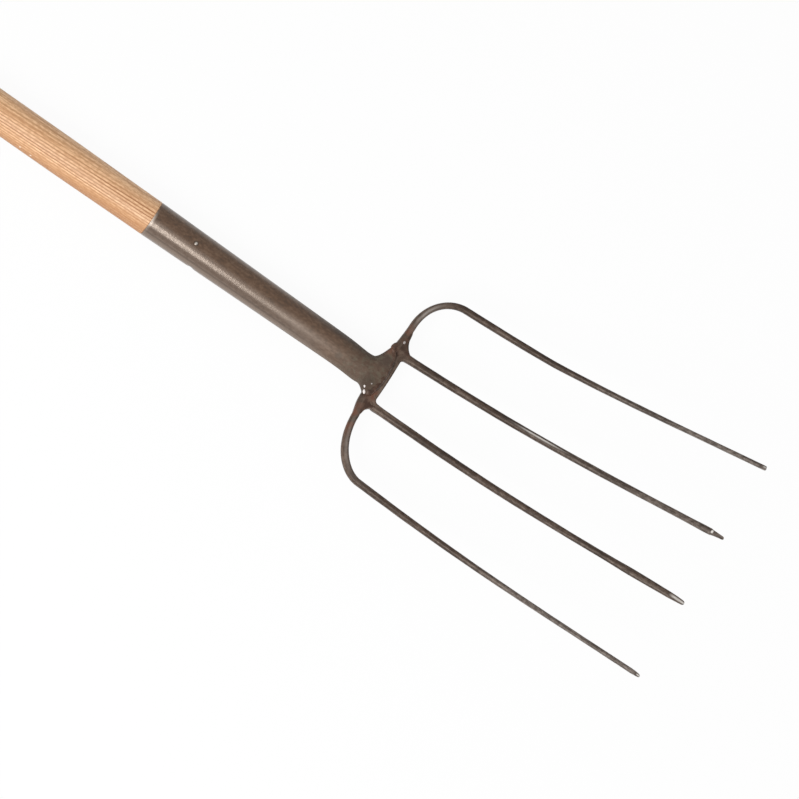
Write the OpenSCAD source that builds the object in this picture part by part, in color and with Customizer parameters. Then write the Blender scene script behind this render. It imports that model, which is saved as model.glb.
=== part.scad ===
// Four-tine manure fork lying on its back, with the hollow of its tines upwards.
// Millimetres. The handle runs along X with the tines towards +X, and the left side is +Y.
// The head is two bent bars side by side, with the socket's flattened end welded on top.
// The origin is on the floor, under the middle of the tool's length.

/* [Handle] */
// Length of the ash handle, with the tenon that goes into the socket
handle_len = 1350; // [1000:10:1500]
// Diameter of the straight shaft
handle_d = 36; // [34:0.5:40]
// Length over which the shaft narrows down to the socket
handle_taper_len = 110; // [40:5:200]
// Room between the tenon's end and the narrow end of the socket's cone
tenon_end_gap = 26; // [4:1:120]
// Length of the rounding at the butt end
butt_round_len = 12; // [6:1:16]
// Diameter of the flat that is left at the butt end
butt_flat_d = 14; // [8:1:20]

/* [Socket] */
// Length of the rolled cone, from its mouth to where it is flattened
socket_len = 226; // [180:1:280]
// Outside diameter at the mouth
socket_mouth_d = 34.5; // [33:0.5:38]
// Outside diameter at the narrow end
socket_neck_d = 28.8; // [26:0.2:32]
// Thickness of the steel
socket_wall = 2; // [1.2:0.1:3]
// Gap between the tenon and the socket, on the radius
tenon_clearance = 0.1; // [0.05:0.05:0.3]
// Chamfer of the rim at the mouth
rim_chamfer = 0.6; // [0.2:0.1:0.9]
// Width of the open seam where the rolled edges meet
seam_gap = 0.6; // [0.3:0.1:1.5]
// Angle of the seam from the top of the socket, round to the right
seam_turn = 104; // [90:1:180]

/* [Socket end] */
// Length over which the round socket is flattened
flatten_len = 20; // [16:1:40]
// Length of the flare at the left side of the flattened end
left_flare_len = 9; // [6:0.5:14]
// Length of the flare at its right side
right_flare_len = 13; // [6:0.5:14]
// Distance that the flare spreads to each side
flare_w = 12; // [6:0.5:14]
// Length of the rounded end that lies on the crossbar
lap_len = 10; // [8:0.5:12]
// Thickness of the flattened end
lap_h = 4.5; // [3:0.1:6]
// Distance that the hand-forged end lies off the tool's axis, to the left
lap_shift = 1.5; // [-4:0.5:4]

/* [Nail] */
// Distance of the nail from the socket's mouth
nail_from_mouth = 45; // [20:1:90]
// Diameter of the nail's shank
nail_shank_d = 3; // [2:0.1:4]
// Diameter of the nail's head
nail_head_d = 4.8; // [4.5:0.1:8]
// Height of the domed head
nail_head_h = 1.3; // [0.8:0.1:2.5]
// Length of the nail under its head
nail_len = 24; // [15:1:28]
// Length of the nail's point
nail_point_len = 4; // [2:0.5:8]
// Gap round the shank and the head
nail_clearance = 0.05; // [0.02:0.01:0.2]

/* [Bars] */
// Height of both bars where they form the crossbar
bar_h = 8.4; // [7:0.1:10]
// Width of the outer bar at the crossbar
outer_w = 7; // [6:0.1:9]
// Width of the inner bar at the crossbar
inner_w = 7.7; // [6:0.1:9]
// Height of the crossbar's centre above the handle's axis
crossbar_rise = 6.5; // [4:0.5:12]
// Length over which the square bars of the crossbar round off into tines
root_len = 24; // [10:1:40]

/* [Tines] */
// Reach of the tines, from the crossbar's front to their points
tine_reach = 323; // [260:1:380]
// Distance between the roots of the inner tines
inner_root_gap = 55.5; // [50:0.5:60]
// Distance between the points of the inner tines
inner_tip_gap = 71; // [60:0.5:84]
// Bend radius of the inner bar's corners, at its centreline
inner_corner_r = 7.5; // [6:0.5:10]
// Distance between the points of the outer tines
outer_tip_gap = 226.7; // [210:0.1:260]
// Distance that these points together lie off the tool's axis, to the left
outer_tip_shift = -0.7; // [-4:0.1:4]
// Angle at which the left outer tine spreads from the tool's axis
left_spread = 3; // [1:0.05:5]
// Angle at which the right outer tine spreads from the tool's axis
right_spread = 3.75; // [1:0.05:5]
// Length of the shoulders' bends along the tool's axis
shoulder_len = 36; // [26:1:44]
// Width of the left shoulder's bend
left_shoulder_w = 42; // [30:1:52]
// Width of the right shoulder's bend
right_shoulder_w = 50; // [30:1:52]
// Distance that the outer bar swings forward beside the inner bar
outer_swing = 3.2; // [0:0.1:4]
// Distance of the left outer tine's slight kink from the crossbar's front
left_kink_x = 120; // [60:5:240]
// Distance that this tine is bent inwards at the kink
left_kink_in = 2.6; // [0:0.1:4]

/* [Tine ends] */
// Length before the points over which the tines keep their width
even_len = 75; // [20:5:150]
// Width of the outer tines there
outer_tip_w = 4.4; // [4:0.1:7]
// Width of the left inner tine there
left_inner_tip_w = 6; // [4:0.1:7]
// Width of the right inner tine there, which is hammered flatter
right_inner_tip_w = 6.9; // [4:0.1:7]
// Height of all tines there
tip_h = 5.6; // [4:0.1:7]
// Length of the left outer tine's worn and blunt end
blunt_len = 4; // [3:0.5:12]
// Width of that end
blunt_w = 4; // [3:0.1:6]
// Height of that end
blunt_h = 4.6; // [3:0.1:6]
// Rounding of that end
blunt_round = 0.8; // [0.4:0.1:2]
// Length of the right outer tine's ground point
right_outer_point_len = 9; // [6:0.5:20]
// Length of the left inner tine's ground point
left_inner_point_len = 13; // [6:0.5:20]
// Length of the right inner tine's ground point
right_inner_point_len = 17; // [6:0.5:20]
// Width of these three points at their ends
point_w = 3; // [2:0.1:3.6]
// Height that the ground facet leaves at the ends
point_h = 2.2; // [1.5:0.1:3]
// Rounding of the ends
point_round = 2; // [1:0.1:3]

/* [Dish] */
// Slope of the tines where they leave the crossbar
dish_start_deg = 5.2; // [0:0.1:8]
// Slope of the tines at their points
dish_end_deg = 21.7; // [10:0.1:28]
// Length over which the slope builds up
dish_len = 260; // [150:5:260]

/* [Welds] */
// Width of the bead round the socket's flattened end
bead_w = 2.4; // [1:0.1:3]
// Height of that bead
bead_h = 3; // [1.5:0.1:3]
// Angle that the bead covers to each side of the tool's axis
bead_half_angle = 62; // [30:1:65]
// Radius of the hollow that fills the corner between the left tines
left_corner_r = 11.5; // [6:0.5:12]
// Radius of the hollow that fills the corner between the right tines
right_corner_r = 9; // [6:0.5:12]
// Height of both fills
corner_h = 5.4; // [3:0.1:5.6]

/* [Hidden] */

turned_fn = 96;
round_fn = 48;
bar_sides = 16;
socket_sides = 36;
round_tube = 0.98;
round_lap = 0.3;
round_bar = 0.35;
round_tine = 0.92;
pinch = 4;
end_share = 0.125;
lap_turn = 88;
fill_turn = 170;
flatten_steps = 14;
lap_steps = 10;
bridge_steps = 4;
swing_steps = 8;
bend_steps = 12;
corner_bend_steps = 8;
blade_steps = 18;
point_steps = 8;
dome_steps = 8;
taper_steps = 6;
bead_steps = 24;
bead_sides = 4;
fill_steps = 12;

ash = [0.80, 0.60, 0.40];
forged_steel = [0.36, 0.31, 0.27];
socket_steel = [0.42, 0.38, 0.34];
weld_steel = [0.40, 0.28, 0.22];
nail_steel = [0.55, 0.52, 0.48];

// Stations along the tool's axis, from the crossbar's front
joint_x = -inner_w;
crossbar_back_x = joint_x - outer_w;
lap_x = crossbar_back_x;
flatten_x = lap_x - flatten_len;
mouth_x = flatten_x - socket_len;
tenon_len = socket_len - tenon_end_gap;
butt_x = mouth_x + tenon_len - handle_len;
middle_x = (butt_x + tine_reach) / 2;
nail_x = mouth_x + nail_from_mouth;

// Levels at the crossbar
lap_bottom_z = crossbar_rise + bar_h / 2;
lap_middle_z = lap_bottom_z + lap_h / 2;

// Radii of the socket and of the tenon inside it
mouth_r = socket_mouth_d / 2;
neck_r = socket_neck_d / 2;
lap_half_w = neck_r + flare_w;
function socket_r(from_mouth) = mouth_r + (neck_r - mouth_r) * from_mouth / socket_len;
function tenon_r(from_mouth) = socket_r(from_mouth) - socket_wall - tenon_clearance;

// The nail's head sits on a spot face, cut where the head's rim meets the round socket
nail_seat_z = sqrt(pow(socket_r(nail_from_mouth), 2) - pow(nail_head_d / 2, 2));

// The inner bar's corners start to bend here, and the outer bar starts to swing forward
corner_y = inner_root_gap / 2 - inner_corner_r;
corner_x = inner_corner_r - inner_w / 2;
outer_back_x = joint_x - outer_w / 2;
outer_side_x = outer_back_x + outer_swing;
left_point_y = outer_tip_gap / 2 + outer_tip_shift;
right_point_y = outer_tip_gap / 2 - outer_tip_shift;

// The bars stay square as far as the corner fills reach
square_half_w = inner_root_gap / 2 + max(left_corner_r, right_corner_r);

function blend(t) = t * t * (3 - 2 * t);
function mix(a, b, t) = a + (b - a) * t;
function clamp(t) = min(1, max(0, t));
function backwards(list) = [for (i = [len(list) - 1:-1:0]) list[i]];
function arc(centre, r, from, to, steps) = [
    for (i = [0:steps]) centre + r * [cos(mix(from, to, i / steps)), sin(mix(from, to, i / steps))]
];

// Ends of the tines: length, width and height at the end, rounding, and width before it
left_outer_end = [blunt_len, blunt_w, blunt_h, blunt_round, outer_tip_w];
right_outer_end = [right_outer_point_len, point_w, point_h, point_round, outer_tip_w];
left_inner_end = [left_inner_point_len, point_w, point_h, point_round, left_inner_tip_w];
right_inner_end = [right_inner_point_len, point_w, point_h, point_round, right_inner_tip_w];

// Height of the bars' centreline: level at the crossbar, then the slope of the tines builds
// up smoothly over dish_len and stays
function dish_z(x) =
    let (t = clamp(x / dish_len), start = tan(dish_start_deg), end = tan(dish_end_deg))
    crossbar_rise + start * max(x, 0)
        + (end - start) * (dish_len * (pow(t, 3) - pow(t, 4) / 2) + max(x - dish_len, 0));

// Outline of a bar: a rectangle whose corners are rounded by a share of its size, with
// everything above the ground facet cut off
function section(w, h, roundness, facet, sides) = [
    for (corner = [0:3])
        for (k = [0:sides / 4 - 1])
            let (a = 90 * (corner + k / (sides / 4 - 1)),
                 sx = (corner == 0 || corner == 3) ? 1 : -1,
                 sz = corner < 2 ? 1 : -1)
            [w / 2 * (sx * (1 - roundness) + roundness * cos(a)),
             min(facet, h / 2 * (sz * (1 - roundness) + roundness * sin(a)))]
];

// Closed skin over a list of rings that have equally many points
module skin(rings) {
    sides = len(rings[0]);
    last = len(rings) - 1;
    polyhedron(
        points = [for (ring = rings) each ring],
        faces = concat(
            [[for (k = [0:sides - 1]) k]],
            [for (i = [0:last - 1], k = [0:sides - 1])
                let (a = i * sides + k, b = i * sides + (k + 1) % sides)
                    each [[a, a + sides, b], [b, a + sides, b + sides]]],
            [[for (k = [sides - 1:-1:0]) last * sides + k]]
        ),
        convexity = 8
    );
}

// Distance of each point from the start of its line
function run_lengths(line) = [
    for (i = 0, run = 0; i < len(line);
            run = run + (i + 1 < len(line) ? norm(line[i + 1] - line[i]) : 0), i = i + 1)
        run
];

// Direction of a line at a point
function heading(line, i) =
    let (d = line[min(i + 1, len(line) - 1)] - line[max(i - 1, 0)]) d / norm(d);

// A bar that is bent along a plan and dished, thinned towards both ends and ground there. The
// plan is a list of points seen from above, from the left end to the right end.
module bow(plan, crossbar_w, left_end, right_end) {
    line = [for (p = plan) [p.x, p.y, dish_z(p.x)]];
    runs = run_lengths(line);
    total = runs[len(runs) - 1];
    skin([
        for (i = [0:len(line) - 1])
            let (
                along = heading(line, i),
                across = cross([0, 0, 1], along) / norm(cross([0, 0, 1], along)),
                up = cross(along, across),
                to_end = min(runs[i], total - runs[i]),
                end = 2 * runs[i] < total ? left_end : right_end,
                thin = 1 - clamp((to_end - even_len) / (tine_reach - even_len)),
                ground = 1 - clamp(to_end / end[0]),
                rounding = sqrt(1 - pow(1 - clamp(to_end / end[3] + end_share), 2)),
                w = mix(mix(crossbar_w, end[4], thin), end[1], ground) * rounding,
                h = mix(bar_h, tip_h, thin),
                facet = ground > 0 ? mix(h / 2, end[2] - h / 2, ground) : h,
                away = max(line[i].x, abs(line[i].y) - square_half_w),
                roundness = mix(round_bar, round_tine, blend(clamp(away / root_len)))
            )
            [for (p = section(w, h, roundness, facet, bar_sides))
                line[i] + across * p.x + up * p.y]
    ]);
}

// Share of a tine's inward bend at x: none at its root and its point, all of it at the kink
function kink(x, root_x) =
    min((x - root_x) / (left_kink_x - root_x), (tine_reach - x) / (tine_reach - left_kink_x));

// Points of a blade from its point back to its root, close together at the point. It is bent
// inwards by kink_in.
function blade(root, point, point_len, kink_in) =
    let (
        ground = point_len / norm(point - root),
        shares = concat(
            [for (i = [0:point_steps - 1]) ground * (1 - cos(90 * i / point_steps))],
            [for (i = [0:blade_steps - 1]) mix(ground, 1, i / blade_steps)]
        )
    )
    [for (t = shares) let (p = mix(point, root, t)) p - [0, kink_in * kink(p.x, root.x)]];

// Half of the inner bar's plan, from the left point to the middle of the crossbar
function inner_half(end) =
    let (
        root = [corner_x, inner_root_gap / 2],
        point = [tine_reach, inner_tip_gap / 2]
    )
    concat(
        blade(root, point, end[0], 0),
        arc([corner_x, corner_y], inner_corner_r, 90, 180, corner_bend_steps),
        [for (i = [1:bridge_steps]) [-inner_w / 2, corner_y * (1 - i / bridge_steps)]]
    );

// A shoulder is part of an ellipse. It is bent until it points along its spread tine.
function shoulder_turn(spread, w) = atan(w / (shoulder_len * tan(spread)));

// Where the shoulder of the tine whose point is at point_y starts to bend
function shoulder_y(spread, w, point_y) =
    let (
        turn = shoulder_turn(spread, w),
        root_x = outer_side_x + shoulder_len * (1 - cos(turn))
    )
    point_y - (tine_reach - root_x) * tan(spread) - w * sin(turn);

// The outer bar swings forward between the inner bar's corner and its own shoulder
function swing_x(y, start_y) =
    outer_back_x + outer_swing * blend(clamp((y - corner_y) / (start_y - corner_y)));

// Half of the outer bar's plan, from the left point to the middle of the crossbar
function outer_half(spread, w, point_y, end, kink_in) =
    let (
        start_y = shoulder_y(spread, w, point_y),
        turn = shoulder_turn(spread, w),
        shoulder = [for (i = [bend_steps:-1:1])
            let (a = turn * i / bend_steps)
            [outer_side_x + shoulder_len * (1 - cos(a)), start_y + w * sin(a)]]
    )
    concat(
        blade(shoulder[0], [tine_reach, point_y], end[0], kink_in),
        shoulder,
        [for (i = [0:swing_steps])
            let (y = mix(start_y, corner_y, i / swing_steps)) [swing_x(y, start_y), y]],
        [for (i = [1:bridge_steps]) [outer_back_x, corner_y * (1 - i / bridge_steps)]]
    );

// A whole plan from its left half and its right half, which share the middle point
function whole_plan(left, right) =
    concat(left, [for (i = [len(right) - 2:-1:0]) [right[i].x, -right[i].y]]);

// Puts a shape that is drawn about the handle's axis on the floor
module on_floor() {
    translate([-middle_x, 0, handle_d / 2]) children();
}

// Turns a shape that is drawn along +Z to lie along +X
module along_axis(x) {
    translate([x, 0, 0]) rotate([0, 90, 0]) children();
}

module handle() {
    shaft_r = handle_d / 2;
    shaft_len = handle_len - tenon_len;
    dome = [for (i = [0:dome_steps])
        let (a = 90 * i / dome_steps)
        [mix(butt_flat_d / 2, shaft_r, sin(a)), butt_round_len * (1 - cos(a))]];
    taper = [for (i = [0:taper_steps])
        let (t = i / taper_steps)
        [mix(shaft_r, mouth_r, blend(t)), shaft_len - handle_taper_len * (1 - t)]];
    tenon = [[tenon_r(0), shaft_len], [tenon_r(tenon_len), handle_len]];
    color(ash)
        on_floor()
            difference() {
                along_axis(butt_x)
                    rotate_extrude($fn = turned_fn)
                        polygon(concat([[0, 0]], dome, taper, tenon, [[0, handle_len]]));
                nail_shape(nail_clearance);
            }
}

// The rolled cone with its seam and the nail's hole, and its end, flattened and spread over the crossbar
module socket() {
    color(socket_steel)
        on_floor() {
            difference() {
                along_axis(mouth_x)
                    rotate_extrude($fn = turned_fn)
                        polygon([
                            [mouth_r - socket_wall, 0],
                            [mouth_r - rim_chamfer, 0],
                            [mouth_r, rim_chamfer],
                            [neck_r, socket_len],
                            [neck_r - socket_wall, socket_len]
                        ]);
                nail_shape(nail_clearance);
                seam();
            }
            flattened_end();
        }
}

// The slit between the edges of the rolled cone
module seam() {
    rotate([seam_turn, 0, 0])
        translate([mouth_x, -seam_gap / 2, 0])
            cube([socket_len, seam_gap, socket_mouth_d]);
}

// The end starts as a plug in the cone, is flattened upwards and flared, and ends in a
// rounded lap on the crossbar
module flattened_end() {
    plug_len = socket_wall;
    function flare(x, flare_len) =
        flare_w * (1 - sqrt(1 - pow(clamp(1 - (flatten_len - x) / flare_len), 2)));
    plug = section(socket_neck_d, socket_neck_d, round_tube, neck_r, socket_sides);
    skin(concat(
        [[for (p = plug) [flatten_x - plug_len, p.x, p.y]]],
        [for (i = [0:flatten_steps])
            let (
                x = flatten_len * sin(90 * i / flatten_steps),
                flat = pow(x / flatten_len, pinch),
                h = mix(socket_neck_d, lap_h, flat),
                left = flare(x, left_flare_len),
                right = flare(x, right_flare_len),
                middle = lap_shift * flat + (left - right) / 2,
                w = socket_neck_d + left + right
            )
            [for (p = section(w, h, mix(round_tube, round_lap, flat), h, socket_sides))
                [flatten_x + x, middle + p.x, lap_middle_z * flat + p.y]]],
        [for (i = [1:lap_steps])
            let (a = lap_turn * i / lap_steps)
            [for (p = section(2 * lap_half_w * cos(a), lap_h, round_lap, lap_h, socket_sides))
                [lap_x + lap_len * sin(a), lap_shift + p.x, lap_middle_z + p.y]]]
    ));
}

// The nail, driven in from above; grow widens it all round for the hole that it fits
module nail_shape(grow) {
    shank_r = nail_shank_d / 2 + grow;
    head_r = nail_head_d / 2 + grow;
    translate([nail_x, 0, nail_seat_z])
        rotate_extrude($fn = round_fn)
            polygon(concat(
                [[0, -nail_len - grow], [shank_r, nail_point_len - nail_len], [shank_r, 0], [head_r, 0]],
                [for (i = [1:dome_steps])
                    let (a = 90 * i / dome_steps)
                    [head_r * cos(a), (nail_head_h + grow) * sin(a)]]
            ));
}

module socket_nail() {
    color(nail_steel) on_floor() nail_shape(0);
}

module outer_tine_bow() {
    color(forged_steel)
        on_floor()
            bow(whole_plan(
                    outer_half(left_spread, left_shoulder_w, left_point_y, left_outer_end, left_kink_in),
                    outer_half(right_spread, right_shoulder_w, right_point_y, right_outer_end, 0)),
                outer_w, left_outer_end, right_outer_end);
}

module inner_tine_bow() {
    color(forged_steel)
        on_floor()
            bow(whole_plan(inner_half(left_inner_end), inner_half(right_inner_end)),
                inner_w, left_inner_end, right_inner_end);
}

// A rounded bead on the crossbar, round the edge of the socket's flattened end
module socket_weld() {
    color(weld_steel)
        on_floor()
            skin([
                for (i = [0:bead_steps])
                    let (
                        a = mix(bead_half_angle, -bead_half_angle, i / bead_steps),
                        edge = [lap_x + lap_len * cos(a), lap_shift + lap_half_w * sin(a)],
                        normal = [lap_half_w * cos(a), lap_len * sin(a)],
                        out = normal / norm(normal)
                    )
                    [for (p = concat([[0, 0]], arc([0, 0], 1, 0, 90, bead_sides)))
                        let (q = edge + out * bead_w * p.x)
                        [q.x, q.y, lap_bottom_z + bead_h * p.y]]
            ]);
}

// Weld metal between the outer bar, the inner bar's corner and a hollow free edge, drawn on
// the left side. The outer bar's shoulder starts at start_y.
module corner_fill(start_y, corner_r) {
    outer_face_x = outer_side_x + outer_w / 2;
    inner_face_y = inner_root_gap / 2 + inner_w / 2;
    hollow = [outer_face_x + corner_r, inner_face_y + corner_r];
    translate([0, 0, crossbar_rise - corner_h / 2])
        linear_extrude(corner_h)
            polygon(concat(
                [for (i = [1:fill_steps])
                    let (y = mix(corner_y, hollow.y, i / fill_steps)) [swing_x(y, start_y) + outer_w / 2, y]],
                arc(hollow, corner_r, 180, 270, fill_steps),
                backwards(arc([corner_x, corner_y], inner_corner_r + inner_w / 2, fill_turn, 90, fill_steps))
            ));
}

module left_corner_weld() {
    color(weld_steel)
        on_floor()
            corner_fill(shoulder_y(left_spread, left_shoulder_w, left_point_y), left_corner_r);
}

module right_corner_weld() {
    color(weld_steel)
        on_floor()
            mirror([0, 1, 0])
                corner_fill(shoulder_y(right_spread, right_shoulder_w, right_point_y), right_corner_r);
}

handle();
socket();
socket_nail();
outer_tine_bow();
inner_tine_bow();
socket_weld();
left_corner_weld();
right_corner_weld();
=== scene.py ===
"""Visual model of a four-tine manure fork, dressed on its packed construction model."""
import math
from collections import namedtuple

import bmesh
import bpy
from mathutils import Matrix, Vector, noise


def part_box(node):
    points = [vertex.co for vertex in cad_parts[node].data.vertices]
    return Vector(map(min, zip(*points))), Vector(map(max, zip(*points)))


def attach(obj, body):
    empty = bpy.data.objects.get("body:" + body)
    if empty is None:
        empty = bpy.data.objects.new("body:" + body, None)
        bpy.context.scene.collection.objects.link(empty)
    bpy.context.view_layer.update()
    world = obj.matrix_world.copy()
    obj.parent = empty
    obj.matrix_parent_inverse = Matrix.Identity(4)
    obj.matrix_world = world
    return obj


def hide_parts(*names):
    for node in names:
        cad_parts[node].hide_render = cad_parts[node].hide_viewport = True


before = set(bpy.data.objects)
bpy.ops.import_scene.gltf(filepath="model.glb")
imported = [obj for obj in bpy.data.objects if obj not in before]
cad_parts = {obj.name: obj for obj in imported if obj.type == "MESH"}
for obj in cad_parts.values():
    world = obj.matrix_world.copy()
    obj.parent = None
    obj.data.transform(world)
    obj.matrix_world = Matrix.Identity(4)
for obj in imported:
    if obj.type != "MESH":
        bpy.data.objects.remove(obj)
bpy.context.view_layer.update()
scene = bpy.context.scene

# Sizes are written in millimetres
MM = 0.001
X_AXIS, Z_AXIS = Vector((1, 0, 0)), Vector((0, 0, 1))

# Sizes that are the same as the construction model's
TENON_GAP = 0.1
HANDLE_TAPER = 110
BUTT_ROUND, BUTT_FLAT_D = 12, 14
MOUTH_D, NECK_D, WALL, RIM = 34.5, 28.8, 2, 0.6
SEAM_TURN, SEAM_GAP = math.radians(104), 0.6
FLATTEN_LEN, FLARE_W = 20, 12
LAP_LEN, LAP_H, LAP_SHIFT = 10, 4.5, 1.5
NAIL_FROM_MOUTH, NAIL_D, NAIL_LEN, NAIL_POINT = 45, 3, 24, 4
NAIL_HEAD_D, NAIL_HEAD_H = 4.8, 1.3
BAR_H, OUTER_W, INNER_W, CROSSBAR_RISE = 8.4, 7, 7.7, 6.5
TINE_REACH, INNER_ROOT_GAP, INNER_TIP_GAP, INNER_CORNER_R = 323, 55.5, 71, 7.5
OUTER_TIP_GAP, OUTER_TIP_SHIFT, SHOULDER_LEN, OUTER_SWING = 226.7, -0.7, 36, 3.2
LEFT_SPREAD, LEFT_SHOULDER_W = math.radians(3), 42
RIGHT_SPREAD, RIGHT_SHOULDER_W = math.radians(3.75), 50
LEFT_KINK_X, LEFT_KINK_IN = 120, 2.6
EVEN_LEN, TIP_H = 75, 5.6
DISH_START, DISH_END, DISH_LEN = math.tan(math.radians(5.2)), math.tan(math.radians(21.7)), 260
BEAD_W = 2.4
LEFT_CORNER_R, RIGHT_CORNER_R = 11.5, 9

# A nick in the socket at its seam: its distance from the mouth, its length and depth, and half its turn
NICK_FROM_MOUTH, NICK_LEN, NICK_DEPTH, NICK_HALF_TURN = 54, 2.4, 0.8, 0.3

# Places along the fork, measured from the crossbar's front and the handle's axis. Where these two lie in
# the frame, AXIS_Z and FRONT_X, is in metres
handle_low, handle_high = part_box("handle")
socket_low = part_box("socket")[0]
inner_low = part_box("inner_tine_bow")[0]
AXIS_Z = (handle_low.z + handle_high.z) / 2
FRONT_X = inner_low.x + INNER_W * MM
HANDLE_R = (handle_high.y - handle_low.y) / 2 / MM
BUTT_X = (handle_low.x - FRONT_X) / MM
TENON_END_X = (handle_high.x - FRONT_X) / MM
MOUTH_X = (socket_low.x - FRONT_X) / MM
JOINT_X = -INNER_W
LAP_X = JOINT_X - OUTER_W
NECK_X = LAP_X - FLATTEN_LEN
SOCKET_LEN = NECK_X - MOUTH_X
NAIL_X = MOUTH_X + NAIL_FROM_MOUTH
NICK_X = MOUTH_X + NICK_FROM_MOUTH
LAP_BOTTOM_Z = CROSSBAR_RISE + BAR_H / 2
LAP_MIDDLE_Z = LAP_BOTTOM_Z + LAP_H / 2
LAP_HALF_W = NECK_D / 2 + FLARE_W
CORNER_Y = INNER_ROOT_GAP / 2 - INNER_CORNER_R
CORNER_X = INNER_CORNER_R - INNER_W / 2
OUTER_BACK_X = JOINT_X - OUTER_W / 2
OUTER_SIDE_X = OUTER_BACK_X + OUTER_SWING
LEFT_POINT_Y = OUTER_TIP_GAP / 2 + OUTER_TIP_SHIFT
RIGHT_POINT_Y = OUTER_TIP_GAP / 2 - OUTER_TIP_SHIFT
SQUARE_HALF_W = INNER_ROOT_GAP / 2 + max(LEFT_CORNER_R, RIGHT_CORNER_R)


def place(x, y, z):
    """A point of the fork, in millimetres from the crossbar's front on the handle's axis."""
    return Vector((FRONT_X + x * MM, y * MM, AXIS_Z + z * MM))


def mix(a, b, t):
    return a + (b - a) * t


def clamp(t):
    return min(1.0, max(0.0, t))


def blend(t):
    """Rises smoothly from 0 to 1."""
    t = clamp(t)
    return t * t * (3 - 2 * t)


def bell(t):
    """1 at 0, fading to nothing at about 2 on both sides."""
    return math.exp(-t * t)


def steps(start, end, count):
    return [mix(start, end, i / count) for i in range(count + 1)]


def socket_r(x):
    return mix(MOUTH_D, NECK_D, (x - MOUTH_X) / SOCKET_LEN) / 2


def dish_z(x):
    """Height of the bars' centreline: level at the crossbar, then rising, ever steeper along the dish."""
    t = clamp(x / DISH_LEN)
    rise = DISH_LEN * (t ** 3 - t ** 4 / 2) + max(x - DISH_LEN, 0)
    return CROSSBAR_RISE + DISH_START * max(x, 0) + (DISH_END - DISH_START) * rise


# Meshes

SHARP_ANGLE = math.radians(38)
TOUCHING = 0.0001


def turned(bm, profile, centre, axis, side, segments):
    """Spins a profile of (distance along the axis, radius) all the way round."""
    verts = [bm.verts.new(centre + axis * (x * MM) + side * (r * MM)) for x, r in profile]
    edges = [bm.edges.new(pair) for pair in zip(verts, verts[1:])]
    bmesh.ops.spin(bm, geom=verts + edges, cent=centre, axis=axis, angle=2 * math.pi,
                   steps=segments, use_merge=True)
    bmesh.ops.remove_doubles(bm, verts=bm.verts, dist=TOUCHING * MM)
    bmesh.ops.recalc_face_normals(bm, faces=bm.faces)


def layers_of(bm):
    """The layers that finishes read: a place on the straightened bar, uncoated steel and painted glints,
    and wear with painted sheen.
    """
    kinds = (("straight", bm.verts.layers.float_vector), ("bare", bm.verts.layers.float),
             ("worn", bm.verts.layers.float))
    return [kind.get(name) or kind.new(name) for name, kind in kinds]


def swept(bm, stations, sides):
    """Extrudes a closed ring from station to station and caps both ends. A station turns an angle round the
    ring into a point, its place on the straightened bar, its share of uncoated steel and painted glint, and
    its share of wear and painted sheen."""
    straight, bare, worn = layers_of(bm)
    ring = bmesh.ops.create_circle(bm, segments=sides, radius=1.0, cap_ends=True)["verts"]
    half_step = math.pi / sides
    turn = {v: math.atan2(v.co.y, v.co.x) + half_step for v in ring}
    rim = list(dict.fromkeys(e for v in ring for e in v.link_edges))
    for number, station in enumerate(stations):
        if number:
            made = bmesh.ops.extrude_edge_only(bm, edges=rim)["geom"]
            ring = [g for g in made if isinstance(g, bmesh.types.BMVert)]
            turn = {v: turn[e.other_vert(v)] for v in ring for e in v.link_edges if e.other_vert(v) in turn}
            rim = list(dict.fromkeys(e for v in ring for e in v.link_edges if e.other_vert(v) in turn))
        for v in ring:
            v.co, v[straight], v[bare], v[worn] = station(turn[v])
    bmesh.ops.edgeloop_fill(bm, edges=rim)
    bmesh.ops.recalc_face_normals(bm, faces=bm.faces)


def squarish(turn, squareness):
    """Point on a unit outline that is round at 2 and nearly square at 6."""
    c, s = math.cos(turn), math.sin(turn)
    power = 2 / squareness
    return math.copysign(abs(c) ** power, c), math.copysign(abs(s) ** power, s)


def finish_piece(bm, name, finish, slot, *nodes):
    """Makes the mesh a smooth-shaded object that stands for its construction nodes."""
    for f in bm.faces:
        f.smooth = True
    for e in bm.edges:
        if len(e.link_faces) == 2:
            e.smooth = e.calc_face_angle(0) < SHARP_ANGLE
    mesh = bpy.data.meshes.new(name)
    bm.to_mesh(mesh)
    bm.free()
    piece = bpy.data.objects.new(name, mesh)
    scene.collection.objects.link(piece)
    mesh.materials.append(finish)
    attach(piece, "root")
    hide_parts(*nodes)


# Finishes

# A fade has a start and an end, and its shares there
Fade = namedtuple("Fade", "start end at_start at_end", defaults=(0.0, 1.0))
MIX_FROM, MIX_TO, MIX_COLOUR = 6, 7, 2


def tone(red, green, blue):
    """A colour as seen on a screen, from 0 to 255, as light."""
    def light(c):
        c /= 255
        return c / 12.92 if c <= 0.04045 else ((c + 0.055) / 1.055) ** 2.4
    return (light(red), light(green), light(blue), 1.0)


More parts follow.
